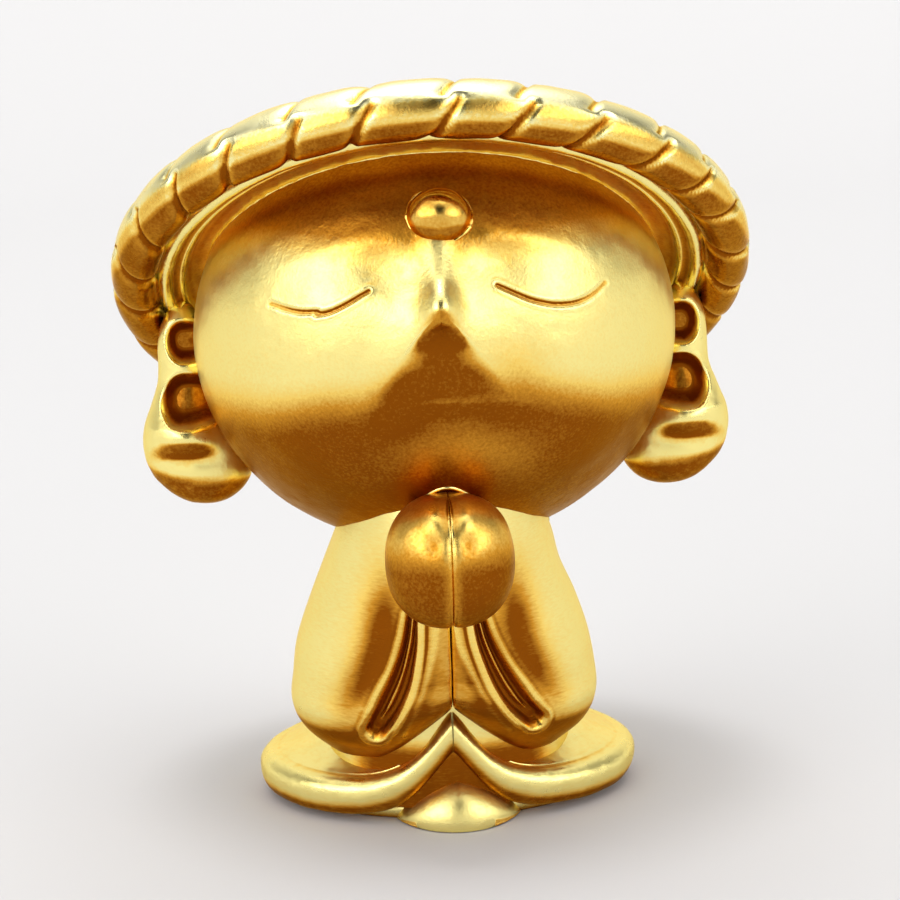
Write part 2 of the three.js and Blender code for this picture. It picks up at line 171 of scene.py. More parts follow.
def to_line(x: np.ndarray, z: np.ndarray, line: np.ndarray) -> tuple[np.ndarray, ...]:
    """Distance from points of a plane to a polyline.

    Args:
        x: first coordinates.
        z: second coordinates.
        line: the polyline's points.

    Returns:
        Distance, share of the way along the line, and side (-1 or 1), for each point.
    """
    p = np.stack([x, z], axis=-1)
    best = np.full(x.shape, 1e9)
    share = np.zeros(x.shape)
    hand = np.ones(x.shape)
    for i in range(len(line) - 1):
        a, d = line[i], line[i + 1] - line[i]
        t = np.clip(((p - a) @ d) / (d @ d), 0.0, 1.0)
        off = p - (a + t[..., None] * d)
        dist = np.hypot(off[..., 0], off[..., 1])
        near = dist < best
        best = np.where(near, dist, best)
        share = np.where(near, (i + t) / (len(line) - 1), share)
        hand = np.where(near, np.sign(d[0] * off[..., 1] - d[1] * off[..., 0]), hand)
    return best, share, hand


# ---- meshes
@dataclass
class Skin:
    """A mesh in the making: points in millimetres, with quads and triangles.

    Attributes:
        points: the points.
        quads: faces with four corners.
        tris: faces with three corners.
        down: how far each point faced down before the surface was roughened.
    """

    points: np.ndarray
    quads: np.ndarray
    tris: np.ndarray = field(default_factory=lambda: np.zeros((0, 3), int))
    down: np.ndarray | None = None

    @staticmethod
    def from_rows(rows: np.ndarray, closed_rows: bool = False, poles: bool = False) -> "Skin":
        """Joins rows of points, each row a loop, into one surface.

        Args:
            rows: an array of rows, columns and 3.
            closed_rows: whether the last row joins the first.
            poles: whether the first and the last row each shrink to one point.

        Returns:
            The surface.
        """
        around = rows.shape[1]
        inner = rows[1:-1] if poles else rows
        height = len(inner)
        a = np.arange(around)
        b = (a + 1) % around
        low = np.arange(height if closed_rows else height - 1)[:, None] * around
        up = (low + around) % (height * around)
        quads = np.stack([low + a, low + b, up + b, up + a], axis=-1).reshape(-1, 4)
        points = inner.reshape(-1, 3)
        if not poles:
            return Skin(points, quads)
        first, top = np.full(around, len(points)), (height - 1) * around
        ends = [np.stack([first, b, a], axis=1), np.stack([first + 1, top + a, top + b], axis=1)]
        return Skin(np.vstack([points, rows[0].mean(0), rows[-1].mean(0)]), quads, np.vstack(ends))

    @staticmethod
    def joined(skins: list["Skin"]) -> "Skin":
        """Several surfaces as one.

        Args:
            skins: the surfaces.

        Returns:
            One surface that holds them all.
        """
        shift = np.cumsum([0] + [len(s.points) for s in skins])
        return Skin(
            np.vstack([s.points for s in skins]),
            np.vstack([s.quads + n for s, n in zip(skins, shift)]),
            np.vstack([s.tris + n for s, n in zip(skins, shift)]),
        )

    def capped(self, ring: np.ndarray, tip: np.ndarray) -> "Skin":
        """The surface with a loop of its points, given by number, closed to a tip."""
        fan = np.stack([ring, np.roll(ring, -1), np.full(len(ring), len(self.points))], axis=1)
        return Skin(np.vstack([self.points, tip]), self.quads, fan)

    def faces(self) -> list[tuple[np.ndarray, np.ndarray]]:
        """The quads and the triangles, each with its normals, twice as long as its faces are large.

        Returns:
            A pair for each kind of face that the surface has.
        """
        p = self.points
        kinds = [face for face in (self.quads, self.tris) if len(face)]
        return [(f, np.cross(p[f[:, 2]] - p[f[:, 0]], p[f[:, -1]] - p[f[:, 1]])) for f in kinds]

    def edges(self) -> np.ndarray:
        """Every side of every face, as pairs of point numbers."""
        kinds = ((self.quads, 4), (self.tris, 3))
        return np.vstack([face[:, [i, (i + 1) % sides]] for face, sides in kinds for i in range(sides)])

    def normals(self) -> np.ndarray:
        """Unit normal at each point.

        Returns:
            An array of points and 3.
        """
        n = np.zeros_like(self.points)
        for face, across in self.faces():
            for corner in face.T:
                for axis in range(3):
                    n[:, axis] += np.bincount(corner, across[:, axis], len(n))
        return n / np.maximum(np.linalg.norm(n, axis=1, keepdims=True), 1e-12)

    def edge_mean(self, to_first: np.ndarray, to_second: np.ndarray) -> np.ndarray:
        """Mean at each point of what its edges give it.

        Args:
            to_first: what each edge gives its first point.
            to_second: what each edge gives its second point.

        Returns:
            The mean at each point.
        """
        e, size = self.edges(), len(self.points)
        total = np.bincount(e[:, 0], to_first, size) + np.bincount(e[:, 1], to_second, size)
        return total / np.maximum(np.bincount(e.ravel(), minlength=size), 1)

    def hollows(self) -> np.ndarray:
        """How hollow (towards 1) or how raised (towards -1) the surface is.

        Returns:
            A value for each point.
        """
        n, e = self.normals(), self.edges()
        step = self.points[e[:, 1]] - self.points[e[:, 0]]
        size = np.maximum((step**2).sum(1), 1e-6)
        bend = self.edge_mean((step * n[e[:, 0]]).sum(1) / size, (-step * n[e[:, 1]]).sum(1) / size)
        passes, gain = 4, 1.1
        for _ in range(passes):
            bend = 0.5 * bend + 0.5 * self.edge_mean(bend[e[:, 1]], bend[e[:, 0]])
        return np.clip(bend * gain, -1.0, 1.0)

    def mirrored(self) -> "Skin":
        """The surface on the figure's other side."""
        return Skin(self.points * MIRROR, self.quads, self.tris)

    def flipped(self) -> "Skin":
        """The surface with its faces turned round."""
        return Skin(self.points, self.quads[:, ::-1], self.tris[:, ::-1])

    def facing_out(self) -> "Skin":
        """A closed surface with its faces outward.

        Returns:
            This surface, or a flipped copy.
        """
        p = self.points - self.points.mean(0)
        volume = sum((p[face].mean(1) * across).sum() for face, across in self.faces())
        return self if volume > 0 else self.flipped()

    def facing(self, way: np.ndarray) -> "Skin":
        """An open surface with its faces mostly towards a direction."""
        return self if (self.normals() @ way).sum() > 0 else self.flipped()

    def roughened(self, amount: float, scale: float, seed: int) -> "Skin":
        """The surface with a small hand-made unevenness along its normals.

        Args:
            amount: height of the bumps, in millimetres.
            scale: bumps in a millimetre.
            seed: which random field.

        Returns:
            The uneven surface.
        """
        bumps, normals = lattice_noise(self.points, scale, seed)[:, None], self.normals()
        down = -normals[:, 2] if self.down is None else self.down
        return Skin(self.points + normals * bumps * amount, self.quads, self.tris, down)

    def build(self, name: str, painted_shade: np.ndarray | float = 0.0) -> bpy.types.Object:
        """Makes the Blender object, smooth shaded, with its hollows and its painted shade stored on it.

        Args:
            name: the piece's name.
            painted_shade: painted shade at each point (below zero, painted light), added to the painted
                shade given to what faces down.

        Returns:
            The new object, in metres.
        """
        mesh = bpy.data.meshes.new(name)
        mesh.vertices.add(len(self.points))
        mesh.vertices.foreach_set("co", (self.points * MM).astype(np.float32).ravel())
        corners = np.concatenate([self.quads.ravel(), self.tris.ravel()])
        totals = np.concatenate([np.full(len(self.quads), 4), np.full(len(self.tris), 3)])
        mesh.loops.add(len(corners))
        mesh.loops.foreach_set("vertex_index", corners.astype(np.int32))
        mesh.polygons.add(len(totals))
        mesh.polygons.foreach_set("loop_start", (np.cumsum(totals) - totals).astype(np.int32))
        mesh.polygons.foreach_set("use_smooth", np.ones(len(totals), bool))
        mesh.update(calc_edges=True)
        down = -self.normals()[:, 2] if self.down is None else self.down
        # Painted shade: what faces down is drawn darker, in place of the shade and dark reflections that
        # undersides catch.
        down_shade_from, down_shade_to = 0.12, 0.45
        painted_shade_sum = np.clip(ramp(down, down_shade_from, down_shade_to) + painted_shade, 0.0, 1.0)
        for key, values in (("hollow", self.hollows()), ("painted_shade", painted_shade_sum)):
            mesh.attributes.new(key, "FLOAT", "POINT").data.foreach_set("value", values.astype(np.float32))
        obj = bpy.data.objects.new(name, mesh)
        bpy.context.scene.collection.objects.link(obj)
        return obj


def tube(path: np.ndarray, radius: np.ndarray, sides: int, closed: bool) -> Skin:
    """Round tube along a path.

    Args:
        path: its centre line.
        radius: radius at each point of the path.
        sides: points round it.
        closed: whether the path is a loop; an open tube ends in points.

    Returns:
        The tube's surface.
    """
    if closed:
        forward = np.roll(path, -1, 0) - np.roll(path, 1, 0)
    else:
        forward = np.gradient(path, axis=0)
    forward /= np.linalg.norm(forward, axis=1, keepdims=True)
    side = np.cross(forward, [0.0, 0.0, 1.0])
    side /= np.maximum(np.linalg.norm(side, axis=1, keepdims=True), 1e-9)
    up = np.cross(side, forward)
    turn = circle(sides)[None, :, None]
    ring = np.cos(turn) * side[:, None] + np.sin(turn) * up[:, None]
    rows = path[:, None] + ring * np.asarray(radius)[:, None, None]
    return Skin.from_rows(rows[:, ::-1], closed_rows=closed, poles=not closed)


# ---- finishes
class Nodes:
    """Short ways to add shader nodes to one material or world."""

    def __init__(self, tree: bpy.types.NodeTree) -> None:
        """Keeps the tree that nodes are added to."""
        self.tree = tree

    def add(self, kind: str, **settings: object) -> bpy.types.Node:
        """Adds one node and sets its properties.

        Args:
            kind: the node's type.
            settings: its properties, by name.

        Returns:
            The node.
        """
        node = self.tree.nodes.new(kind)
        for key, value in settings.items():
            setattr(node, key, value)
        return node

    def link(self, source: Socket, target: Socket) -> None:
        """Joins two sockets."""
        self.tree.links.new(source, target)

    def noise(self, where: Socket, scale: float, detail: float, rough: float = 0.5) -> Socket:
        """Noise texture's value at a coordinate.

        Args:
            where: the coordinate.
            scale: cells in a metre.
            detail: octaves.
            rough: share of each finer octave.

        Returns:
            The value.
        """
        node = self.add("ShaderNodeTexNoise")
        for key, number in (("Scale", scale), ("Detail", detail), ("Roughness", rough)):
            node.inputs[key].default_value = number
        self.link(where, node.inputs["Vector"])
        return node.outputs["Fac"]

    def span(self, value: Socket, low: float, high: float, to_low: float, to_high: float) -> Socket:
        """A value carried from one range to another, held at its ends.

        Args:
            value: what is carried.
            low: start of its range.
            high: end of its range.
            to_low: what the start becomes.
            to_high: what the end becomes.

        Returns:
            The carried value.
        """
        node = self.add("ShaderNodeMapRange")
        keys = ("From Min", "From Max", "To Min", "To Max")
        for key, number in zip(keys, (low, high, to_low, to_high)):
            node.inputs[key].default_value = number
        self.link(value, node.inputs["Value"])
        return node.outputs["Result"]

    def math(self, kind: str, *values: Socket | float) -> Socket:
        """Takes values together, two at a time from the left.

        Args:
            kind: ADD, SUBTRACT or MULTIPLY.
            values: sockets and numbers.

        Returns:
            The result.
        """
        total = values[0]
        for value in values[1:]:
            node = self.add("ShaderNodeMath", operation=kind)
            for socket, part in zip(node.inputs, (total, value)):
                if isinstance(part, float):
                    socket.default_value = part
                else:
                    self.link(part, socket)
            total = node.outputs[0]
        return total

    def lobe(self, way: Socket, direction: Triple, near: float, far: float) -> Socket:
        """Share, from 1 to 0, of a round patch of the room.

        Args:
            way: where a ray of the room's light comes from.
            direction: towards the patch's middle.
            near: angle from the middle, in degrees, up to which it is full.
            far: angle at which it ends.

        Returns:
            The share.
        """
        node = self.add("ShaderNodeVectorMath", operation="DOT_PRODUCT")
        node.inputs[1].default_value = Vector(direction).normalized()
        self.link(way, node.inputs[0])
        low, high = math.cos(math.radians(far)), math.cos(math.radians(near))
        return self.span(node.outputs["Value"], low, high, 0.0, 1.0)


# Gold colours along the painted shade scale: pale lit gold at 0, dark brown painted shade at 1.
GOLD_TO_PAINTED_SHADE_TONES = (
    (0.0, (1.0, 0.86, 0.31)),
    (0.34, (0.98, 0.68, 0.15)),
    (0.66, (0.68, 0.31, 0.028)),
    (1.0, (0.275, 0.074, 0.003)),
)
# The cord's tones start from a paler gold, a painted highlight for its top.
CORD_HIGHLIGHT_AND_SHADE_TONES = ((0.0, (1.0, 0.95, 0.55)), (0.20, (1.0, 0.88, 0.36)), *GOLD_TO_PAINTED_SHADE_TONES[1:])


@dataclass(frozen=True)
class SatinGold:
    """Blasted and hand-rubbed gold-coloured plating, whose colour also carries the painted shade stored on
    each piece.

    Attributes:
        name: the material's name.
        tones: colours from the plain lit gold (0) to the deepest painted shade (1).
        smooth: roughness of rubbed edges.
        matt: roughness of the blasted surface.
        grain: height of the fine grain, in millimetres.
        pits: height of the coarser sparkle, in millimetres.
        stroke: stretch of the grain along x, y and z; more is finer.
    """

    name: str
    tones: tuple[tuple[float, Triple], ...] = GOLD_TO_PAINTED_SHADE_TONES
    smooth: float = 0.20
    matt: float = 0.36
    grain: float = 0.011
    pits: float = 0.024
    stroke: Triple = (1.0, 1.0, 1.0)

    def material(self) -> bpy.types.Material:
        """Makes the material with its nodes.

        Returns:
            The material.
        """
        material = bpy.data.materials.new(self.name)
        material.use_nodes = True
        material.node_tree.nodes.clear()
        n = Nodes(material.node_tree)
        out = n.add("ShaderNodeOutputMaterial")
        shader = n.add("ShaderNodeBsdfPrincipled")
        shader.inputs["Metallic"].default_value = 1.0
        shader.inputs["Specular Tint"].default_value = (1.0, 0.84, 0.52, 1.0)
        n.link(shader.outputs[0], out.inputs[0])
        place = n.add("ShaderNodeTexCoord").outputs["Object"]
        stretch = n.add("ShaderNodeMapping")
        stretch.inputs["Scale"].default_value = self.stroke
        n.link(place, stretch.inputs["Vector"])
        hollow = n.add("ShaderNodeAttribute", attribute_name="hollow").outputs["Fac"]
        painted_shade = n.add("ShaderNodeAttribute", attribute_name="painted_shade").outputs["Fac"]
        patches = n.noise(place, 230.0, 3.0)
        cloud = n.noise(place, 900.0, 4.0, 0.6)
        fine = n.noise(stretch.outputs[0], 7000.0, 2.0, 0.6)
        sparkle = n.noise(place, 3600.0, 3.0, 0.65)

        # Tone: the stored painted shade, with random tone patches and fine grain; darker in hollows, lighter
        # on raised edges.
        tone = n.math(
            "ADD", painted_shade, n.span(patches, 0.30, 0.70, -0.04, 0.05), n.span(fine, 0.30, 0.75, -0.06, 0.10),
            n.span(hollow, 0.04, 0.60, 0.0, 0.50), n.span(hollow, -0.12, -0.75, 0.0, -0.28),
        )
        colours = n.add("ShaderNodeValToRGB")
        stops = colours.color_ramp.elements
        while len(stops) < len(self.tones):
            stops.new(0.5)
        for stop, (position, colour) in zip(stops, self.tones):
            stop.position = position
            stop.color = (*colour, 1.0)
        n.link(tone, colours.inputs[0])
        n.link(colours.outputs[0], shader.inputs["Base Color"])

        rough = n.math(
            "ADD", n.span(cloud, 0.35, 0.70, self.matt - 0.05, self.matt + 0.06),
            n.span(hollow, 0.0, 0.6, 0.0, 0.14), n.span(hollow, -0.15, -0.9, 0.0, self.smooth - self.matt),
        )
        n.link(rough, shader.inputs["Roughness"])

        pitted = n.math("ADD", n.span(cloud, 0.50, 0.66, 0.0, 0.45), n.span(hollow, 0.05, 0.45, 0.0, 0.9))
        grain = n.math("MULTIPLY", fine, self.grain * MM)
        bump = n.add("ShaderNodeBump")
        bump.inputs["Strength"].default_value = 1.0
        bump.inputs["Distance"].default_value = 1.0
        height = n.math("ADD", grain, n.math("MULTIPLY", sparkle, pitted, self.pits * MM))
        n.link(height, bump.inputs["Height"])
        n.link(bump.outputs[0], shader.inputs["Normal"])
        return material


@dataclass
class Finishes:
    """The finishes of the figurine, made once and shared."""

    open_gold: bpy.types.Material
    cord_gold: bpy.types.Material
    robe_gold: bpy.types.Material
    solder_gold: bpy.types.Material
    bead_gold: bpy.types.Material

    @staticmethod
    def make() -> "Finishes":
        """Makes every finish."""
        return Finishes(
            SatinGold("satin_gold_open").material(),
            SatinGold("satin_gold_cord", CORD_HIGHLIGHT_AND_SHADE_TONES, 0.16, 0.28, 0.007, 0.014).material(),
            SatinGold("satin_gold_robe", stroke=(0.35, 0.35, 1.6), matt=0.33, pits=0.030).material(),
            SatinGold("rough_solder", matt=0.42, grain=0.014, pits=0.040).material(),
            SatinGold("rubbed_bead", smooth=0.14, matt=0.22, grain=0.003, pits=0.006).material(),
        )


def dress(obj: bpy.types.Object, material: bpy.types.Material, *nodes: str) -> None:
    """Gives a piece its finish and its body, and hides the solids that it stands for.

    Args:
        obj: the piece.
        material: its finish.
        nodes: names of the solids that it replaces.
    """
    obj.data.materials.append(material)
    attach(obj, BODY)
    if nodes:
        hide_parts(*nodes)
    log.info("%s: %d faces, stands for %s", obj.name, len(obj.data.polygons), ", ".join(nodes) or "nothing")


def middle(node: str) -> np.ndarray:
    """Middle of a solid's box, in millimetres."""
    low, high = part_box(node)
    return (np.array(low) + np.array(high)) / (2 * MM)


@dataclass(frozen=True)
class HeadFrame:
    """Axes of the tipped-back head and hat: across, front and up, from a centre."""

    centre: np.ndarray
    across: np.ndarray = field(default_factory=lambda: np.array([1.0, 0.0, 0.0]))
    front: np.ndarray = field(default_factory=lambda: np.array([0.0, -math.cos(TILT), math.sin(TILT)]))
    up: np.ndarray = field(default_factory=lambda: np.array([0.0, math.sin(TILT), math.cos(TILT)]))

    def place(self, x: np.ndarray, f: np.ndarray, u: np.ndarray) -> np.ndarray:
        """Points of the figure from distances across, front and up."""
        x, f, u = x[..., None], f[..., None], u[..., None]
        return self.centre + x * self.across + f * self.front + u * self.up

    def shifted(self, ahead: float, above: float) -> "HeadFrame":
        """The same axes from another centre."""
        return HeadFrame(self.centre + ahead * self.front + above * self.up)


# ---- hat
@dataclass
class Hat:
    """Wide round hat: corded rim, stepped lining below, shallow bowl above."""

    ring: HeadFrame
    finishes: Finishes
    radius: float = 14.4
    half_width: float = 1.15
    half_height: float = 1.35
    turns: int = 28
    steps_per_turn: int = 30
    cord_sides: int = 56
    lead: float = 1.25
    groove: float = 0.17
    crown_radius: float = 13.3
    crown_depth: float = 6.9
    crown_fullness: float = 1.8
    crown_sides: int = 320
    seam_radius: float = 11.08
    seam_forward: float = 0.73
    seam_height: float = 0.50
    seam_half_angle: float = 1.75
    lining_line: Line = (
        (13.6, 0.3), (13.25, -0.42), (12.98, -0.62), (12.72, -0.56), (12.55, -0.30), (12.36, -0.16),
        (12.16, -0.20), (12.0, -0.10), (11.75, 0.22), (11.35, 0.48), (10.9, 0.55), (10.3, 0.52), (9.8, 0.6),
    )

    def cord(self) -> None:
        """The twisted cord, one groove that winds round it."""
        sweep = circle(self.turns * self.steps_per_turn)[:, None]
        angle = circle(self.cord_sides)[None, :]
        slips = np.random.default_rng(11).uniform(-0.09, 0.09, self.turns)
        phase = (self.turns * sweep - self.lead * angle) / (2 * np.pi)
        turn = sweep * self.turns / (2 * np.pi)
        phase = phase + np.interp(turn, np.arange(self.turns + 1), np.append(slips, slips[0]))
        t = phase - np.floor(phase)
        crease = self.groove * np.exp(-((np.minimum(t, 1.0 - t) / 0.075) ** 1.3))
        shoulder = 0.045 * np.abs(2 * t - 1) ** 2.4
        lean = 0.0175 * (t - 0.5)
        ridge = 0.028 * hill(t, 0.10, 0.045)
        lobe = 1.0 - crease - shoulder + lean + ridge
        out = self.radius + self.half_width * lobe * np.cos(angle)
        rise = self.half_height * lobe * np.sin(angle)
        rows = self.ring.place(out * np.sin(sweep), out * np.cos(sweep), rise)
        skin = Skin.from_rows(rows, closed_rows=True).facing_out().roughened(0.02, 1.1, 5)
        # Painted shade on the cord: darker underneath and in a band below its front, so its top, in the
        # paler cord tone, is a painted highlight.
        below = 0.20 * ramp(np.sin(angle), 0.0, -0.45) + 0.20 * hill(angle, np.pi * 1.5, 0.9)
        painted_shade = below + 0.26 * hill(angle, np.pi * 1.87, 0.26) + 0 * sweep
        dress(skin.build("rim_cord", painted_shade.ravel()), self.finishes.cord_gold, "hat_rim_cord")

    def turned(self, profile: np.ndarray, around: int) -> np.ndarray:
        """Rows of a form turned about the hat's axis.

        Args:
            profile: (radius, height) pairs.
            around: points in each row.

        Returns:
            The rows.
        """
        sweep = circle(around)
        r, h = profile[:, :1], profile[:, 1:]
        return self.ring.place(r * np.sin(sweep), r * np.cos(sweep), h + 0 * sweep)

    def lining(self) -> None:
        """Underside of the brim: a step by the cord, a fine ridge, then a cove up to the head."""
        skin = Skin.from_rows(self.turned(smooth_line(self.lining_line, 70), 400))
        skin = skin.facing(-self.ring.up).roughened(0.03, 0.9, 21).roughened(0.012, 3.0, 22)
        # Painted light: -0.75 takes back most of the painted shade that the downward-facing lining would
        # get.
        dress(skin.build("brim_lining", -0.75), self.finishes.open_gold, "hat_brim_lining")

    def seam(self) -> None:
        """Uneven solder line where the head meets the lining."""
        reach, forward = self.seam_half_angle, self.seam_forward
        sweep = np.linspace(-reach, reach, 420)
        r = np.sqrt(self.seam_radius**2 - (forward * np.sin(sweep)) ** 2) - forward * np.cos(sweep)
        path = self.ring.place(r * np.sin(sweep), r * np.cos(sweep), self.seam_height + 0 * sweep)
        size = (0.10 + 0.05 * lattice_noise(path, 2.2, 31)) * ramp(np.abs(sweep), reach, reach - 0.6) + 0.01
        skin = tube(path, size, 14, closed=False).facing_out().roughened(0.035, 5.0, 32)
        dress(skin.build("brim_seam"), self.finishes.solder_gold)

    def crown(self) -> None:
        """The bowl of the hat, with a fine bead beside the cord."""
        s = np.linspace(0.0, np.pi / 2, 90)
        power = 2.0 / self.crown_fullness
        r = self.crown_radius * np.cos(s) ** power
        h = self.crown_depth * np.sin(s) ** power
        h = h + 0.07 * hill(r, 12.3, 0.22) - 0.03 * hill(r, 11.8, 0.3)
        r[-1] = 0.0
        rows = self.turned(np.stack([r, h], axis=1), self.crown_sides)
        skirt = rows[:1] - 0.4 * self.ring.up
        skin = Skin.from_rows(np.concatenate([skirt, rows[:-1]]))
        last = np.arange(len(skin.points) - self.crown_sides, len(skin.points))
        skin = skin.capped(last, rows[-1].mean(0)).facing(self.ring.up).roughened(0.05, 0.35, 41)
        dress(skin.build("crown_bowl"), self.finishes.open_gold, "hat_crown")

    def build(self) -> None:
        """Builds the four pieces of the hat."""
        self.cord()
        self.lining()
        self.seam()
        self.crown()


# ---- head
@dataclass
class Head:
    """Round head: closed lids, small nose, brow bead."""

    frame: HeadFrame
    finishes: Finishes
    radius: float = 11.7
    pole: float = 10.1
    face_drop: float = 4.0
    nose_tip: float = -4.85
    nose_shift: float = -0.15
    lid_depth: float = 0.13
    lid_width: float = 0.085
    open_above: float = 4.3
    bead_size: Triple = (1.38, 1.25, 1.33)
    bead_drop: float = 0.5
    lip_radius: float = 1.42
    # Painted shade (above zero) and painted highlight (below zero) patches on the face: amount, across, its
    # width, up, its width.
    painted_shade_and_highlights: Line = (
        (0.32, 3.2, 1.5, -6.7, 1.0), (0.34, -2.1, 0.9, -7.4, 0.8), (-0.28, 0.9, 3.4, -8.9, 0.6),
        (-0.45, -0.1, 0.6, -2.1, 1.3),
    )
    lid_strokes: tuple[tuple[Line, float, float], ...] = (
        (((-7.55, -2.70), (-6.9, -3.18), (-6.2, -3.56), (-5.45, -3.78)), 0.5, 0.9),
        (((-5.5, -3.88), (-4.9, -3.93), (-4.2, -3.80), (-3.25, -3.46)), 0.9, 1.25),
        (((2.45, -3.52), (3.2, -3.78), (4.0, -3.98), (5.0, -3.97), (6.0, -3.66), (6.8, -3.10),
          (7.4, -2.42)), 1.25, 0.45),
    )

    def relief(self, x: np.ndarray, u: np.ndarray) -> np.ndarray:
        """Height of the face's features over the plain form.

        Args:
            x: distance across.
            u: distance up from the head's centre.

        Returns:
            Height at each point, in millimetres.
        """
        s, beside = x - self.nose_shift, np.abs(x)
        width = along(u, [(-1.2, 0.80), (-2.2, 0.66), (-3.4, 0.62), (-4.4, 0.70), (-5.4, 0.9)])
        bridge = [(-0.4, 0.0), (-1.4, 0.18), (-2.4, 0.20), (-3.3, 0.28)]
        rise = along(u, [*bridge, (-4.6, 0.66), (-5.05, 0.48), (-5.8, 0.1), (-6.3, 0.0)])
        h = 1.15 * rise * hill(s / width, 0.0, 1.0, 2.3)
        span = along(u, [(-2.0, 0.8), (-3.6, 1.2), (-5.2, 2.0), (-7.5, 3.2)])
        upper = [(-1.6, 0.0), (-3.2, 0.20), (-5.0, 0.50), (-6.2, 0.50)]
        h += along(u, [*upper, (-7.4, 0.26), (-8.6, 0.07), (-9.8, 0.0)]) * hill(s / span, 0.0, 1.0, 2.2)
        h -= self.wedge(x, u) * along(u, [(-4.8, 0.24), (-5.5, 0.42), (-6.5, 0.20), (-7.6, 0.0)])
        h -= 0.30 * hill(beside, 2.6, 1.5) * hill(u, -2.7, 1.0)
        h += 0.10 * hill(beside, 3.6, 2.6) * hill(u, -1.35, 0.55)
        dents = lattice_noise(np.stack([x, u, 0 * x], axis=-1), 0.8, 53)
        h += 0.05 * dents * hill(x, 0.0, 3.4) * hill(u, -1.4, 1.3)
        h += 0.22 * hill(beside, 5.6, 2.4) * hill(u, -6.2, 2.2)
        return h + self.lids(x, u)

    def wedge(self, x: np.ndarray, u: np.ndarray) -> np.ndarray:
        """Share of the flat under the nose, which widens and fades downward.

        Args:
            x: distance across.
            u: distance up from the head's centre.

        Returns:
            The share at each point.
        """
        below = np.maximum(self.nose_tip - u, 0.0)
        soft = 0.30 + 0.46 * below
        inside = ramp(0.16 + 0.62 * below - np.abs(x - self.nose_shift), -soft, soft)
        return inside * ramp(below, 0.0, 0.4)

    def lids(self, x: np.ndarray, u: np.ndarray) -> np.ndarray:
        """Depth of the engraved lid lines, each with a fine raised edge.

        Args:
            x: distance across.
            u: distance up from the head's centre.

        Returns:
            Height at each point, below zero in a line.
        """
        h = np.zeros_like(x)
        for points, start, end in self.lid_strokes:
            near, share, _ = to_line(x, u, smooth_line(points, 16))
            depth = self.lid_depth * (start + (end - start) * share)
            h -= depth * hill(near, 0.0, self.lid_width)
            h += 0.12 * depth * hill(near, 2.2 * self.lid_width, self.lid_width)
        return h

    def painted_shade(self, x: np.ndarray, f: np.ndarray, u: np.ndarray) -> np.ndarray:
        """Painted shade on the face: brow and wedge dark, with painted highlights on the middle of the brow
        and on the chin.

        Args:
            x: distance across.
            f: distance forward.
            u: distance up.

        Returns:
            The shade at each point.
        """
        # Painted shade over the brow towards the brim, and a painted shadow in the wedge under the nose.
        painted_shade_sum = 0.84 * ramp(u - 0.045 * x**2, -3.7, -0.7)
        painted_shade_sum += 1.2 * self.wedge(x, u) * ramp(u, -8.3, -6.8) * (f > 0)
        for amount, across, width, up, height in self.painted_shade_and_highlights:
            painted_shade_sum += amount * hill(x, across, width) * hill(u, up, height)
        # Painted highlights either side of the nose bridge.
        return painted_shade_sum - 0.40 * hill(np.abs(x), 2.0, 0.7) * hill(u, -2.7, 0.6)

    def shell(self) -> None:
        """The head with its face, finest round the face."""
        rings, around = 270, 640
        s = np.linspace(0.0, 1.0, rings)[:, None]
        away = np.pi * (0.55 * s + 0.45 * s**4)
        turn = circle(around)[None, :]
        drop = math.atan2(self.face_drop, self.radius)
        forward, rise = np.cos(away) + 0 * turn, np.sin(away) * np.sin(turn)
        x = np.sin(away) * np.cos(turn)
        f = forward * math.cos(drop) + rise * math.sin(drop)
        u = -forward * math.sin(drop) + rise * math.cos(drop)
        size = 1.0 / np.sqrt((x**2 + f**2) / self.radius**2 + u**2 / self.pole**2)
        x, f, u = x * size, f * size, u * size
        nx, nf, nu = x / self.radius**2, f / self.radius**2, u / self.pole**2
        h = np.where(f > 0, self.relief(x, u), 0.0) * ramp(f, 0.5, 3.0)
        h = h / np.sqrt(nx**2 + nf**2 + nu**2)
        x, f, u = x + h * nx, f + h * nf, u + h * nu
        u = np.where(u > self.open_above, self.open_above + 0.3 * (u - self.open_above), u)
        skin = Skin.from_rows(self.frame.place(x, f, u)[:, ::-1], poles=True).facing_out()
        skin = skin.roughened(0.03, 0.55, 51).roughened(0.008, 2.4, 52)
        local = skin.points - self.frame.centre
        painted_shade = self.painted_shade(local @ self.frame.across, local @ self.frame.front, local @ self.frame.up)
        dress(skin.build("head", painted_shade), self.finishes.open_gold, "head_shell")

    def bead(self) -> None:
        """Brow bead, a little uneven, with a raised lip of metal at its seat."""
        a, b = np.linspace(0.0, np.pi, 60)[:, None], circle(90)[None, :]
        wide, deep, tall = self.bead_size
        wobble = 1.0 + 0.03 * np.cos(2 * b + 0.6) * np.sin(a)
        x = wide * np.sin(a) * np.cos(b) * wobble
        u = tall * np.sin(a) * np.sin(b) * wobble - self.bead_drop
        f = deep * np.cos(a) + 0 * b + self.radius - 0.15
        bead = Skin.from_rows(self.frame.place(x, f, u)[:, ::-1], poles=True).facing_out()
        turn = circle(120)
        reach = self.lip_radius + 0.05 * np.sin(3 * turn + 1.0)
        x, u = reach * np.cos(turn), 0.96 * reach * np.sin(turn) - self.bead_drop
        f = np.sqrt(self.radius**2 - x**2 - (self.radius / self.pole * u) ** 2) - 0.02
        size = 0.06 + 0.09 * hill(turn, 5.75, 0.35) + 0.05 * hill(turn, 3.1, 0.25)
        lip = tube(self.frame.place(x, f, u), size, 12, closed=True).facing_out()
        skin = Skin.joined([bead.roughened(0.03, 1.6, 61), lip.roughened(0.03, 5.0, 62)])
